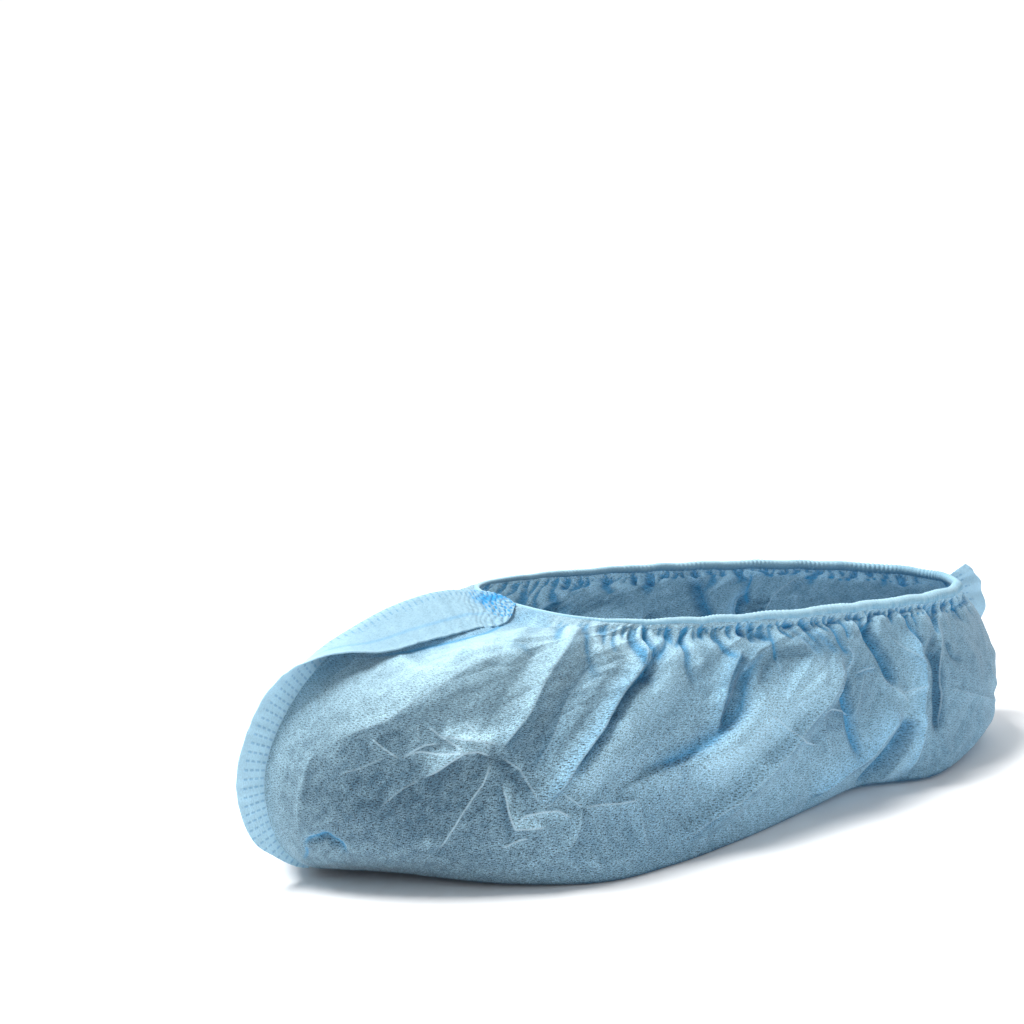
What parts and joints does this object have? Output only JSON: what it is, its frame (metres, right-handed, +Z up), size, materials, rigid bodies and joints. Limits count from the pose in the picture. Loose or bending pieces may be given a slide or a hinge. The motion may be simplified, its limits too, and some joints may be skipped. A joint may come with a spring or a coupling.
{
  "type": "disposable overshoe",
  "caption": "Left disposable overshoe of thin nonwoven cloth in its worn form: flat sole, gathered walls, welded toe and heel seams, elastic hem round an open mouth.",
  "frame": {"origin": "on the floor under the middle of the overshoe, midway between the tips of the toe seam and the heel seam", "axes": "+Z up, -Y towards the toe, +X towards the wearer's left, the outer side of this left overshoe"},
  "size_m": [0.1296, 0.3401, 0.0894],
  "materials": {
    "nonwoven_single": "single spunbond polypropylene cloth, light blue, point bonded, matt",
    "nonwoven_doubled": "the same cloth doubled and welded in rows of short dashes, paler blue, matt",
    "nonwoven_rolled": "the same cloth rolled round an elastic thread, fine puckers, matt"
  },
  "bodies": {
    "root": {"cover_body": "nonwoven_single", "toe_seam": "nonwoven_doubled", "heel_seam": "nonwoven_doubled", "elastic_hem": "nonwoven_rolled"}
  },
  "joints": []
}
